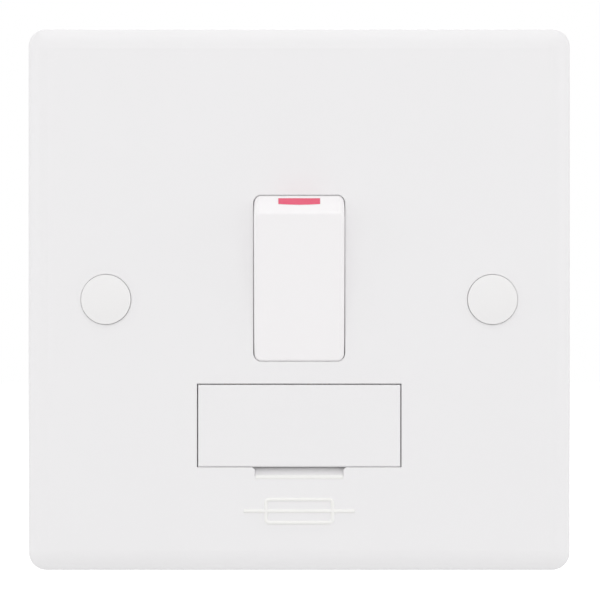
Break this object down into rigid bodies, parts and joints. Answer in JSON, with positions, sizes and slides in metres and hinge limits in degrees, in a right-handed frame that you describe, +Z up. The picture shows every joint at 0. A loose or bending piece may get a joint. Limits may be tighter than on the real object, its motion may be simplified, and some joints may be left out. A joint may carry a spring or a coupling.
{
  "type": "fused spur unit",
  "caption": "Square white wall plate with a rocker switch, a flush pull-out fuse carrier and capped fixing screws, on a moulded back with wire terminals; feeds one appliance.",
  "frame": {"origin": "middle of the plate, between the two fixing screws, on the wall plane", "axes": "+X to the right seen from the front, +Y into the wall, +Z up"},
  "size_m": [0.085, 0.0326, 0.085],
  "materials": {
    "plate_white": "moulded urea, semi-gloss",
    "rocker_white": "moulded, glossy",
    "housing_white": "moulded thermoset, satin",
    "flag_red": "moulded red inlay",
    "brass": "plain turned or extruded brass",
    "spring_bronze": "rolled phosphor bronze",
    "silver_tip": "silver alloy contact",
    "plated_steel": "zinc plated",
    "spring_steel": "drawn wire",
    "plunger_nylon": "natural nylon",
    "fuse_ceramic": "unglazed ceramic",
    "fuse_plating": "nickel plated"
  },
  "bodies": {
    "unit": {"clip_rivets": "brass", "earth_strap": "brass", "faceplate": "plate_white", "fixed_tip_live": "silver_tip", "fixed_tip_neutral": "silver_tip", "fixing_screws": "plated_steel", "fuse_clip_left": "spring_bronze", "fuse_clip_right": "spring_bronze", "housing_screws": "plated_steel", "live_common_strip": "brass", "live_in_strip": "brass", "live_out_strip": "brass", "neutral_in_strip": "brass", "neutral_out_strip": "brass", "rear_housing": "housing_white", "screw_cap_left": "plate_white", "screw_cap_right": "plate_white", "terminal_earth_in": "brass", "terminal_earth_out": "brass", "terminal_live_in": "brass", "terminal_live_out": "brass", "terminal_neutral_in": "brass", "terminal_neutral_out": "brass", "terminal_screws": "plated_steel"},
    "switch_rocker": {"rocker": "rocker_white", "on_flag": "flag_red", "plunger_spring_live": "spring_steel", "plunger_spring_neutral": "spring_steel"},
    "live_plunger": {"plunger_live": "plunger_nylon"},
    "neutral_plunger": {"plunger_neutral": "plunger_nylon"},
    "live_blade": {"moving_contact_live": "brass", "moving_tip_live": "silver_tip"},
    "neutral_blade": {"moving_contact_neutral": "brass", "moving_tip_neutral": "silver_tip"},
    "fuse_drawer": {"fuse_carrier": "plate_white", "fuse_body": "fuse_ceramic", "fuse_cap_left": "fuse_plating", "fuse_cap_right": "fuse_plating"}
  },
  "joints": [
    {"name": "rocker_tilt", "type": "hinge", "parent": "unit", "child": "switch_rocker", "pos_m": [0, -0.00213, 0.0033], "axis": [1, 0, 0], "range_deg": [-18, 0]},
    {"name": "fuse_drawer_slide", "type": "slide", "parent": "unit", "child": "fuse_drawer", "axis": [0, -1, 0], "range_m": [0, 0.009]},
    {"name": "live_plunger_slide", "type": "slide", "parent": "switch_rocker", "child": "live_plunger", "axis": [0, -0.9877, -0.1564], "range_m": [0, 0.0012], "stiffness_N_per_m": 600, "springref_m": -0.002, "deforming": ["plunger_spring_live"]},
    {"name": "live_blade_tilt", "type": "hinge", "parent": "unit", "child": "live_blade", "pos_m": [-0.0032, 0.0096, 0.0033], "axis": [1, 0, 0], "range_deg": [0, 17]},
    {"name": "neutral_plunger_slide", "type": "slide", "parent": "switch_rocker", "child": "neutral_plunger", "axis": [0, -0.9877, -0.1564], "range_m": [0, 0.0012], "stiffness_N_per_m": 600, "springref_m": -0.002, "deforming": ["plunger_spring_neutral"]},
    {"name": "neutral_blade_tilt", "type": "hinge", "parent": "unit", "child": "neutral_blade", "pos_m": [0.0032, 0.0096, 0.0033], "axis": [1, 0, 0], "range_deg": [0, 17]}
  ],
  "couplings": [
    {"joint": "live_blade_tilt", "follows": "rocker_tilt", "ratio": -0.94444},
    {"joint": "neutral_blade_tilt", "follows": "rocker_tilt", "ratio": -0.94444}
  ]
}
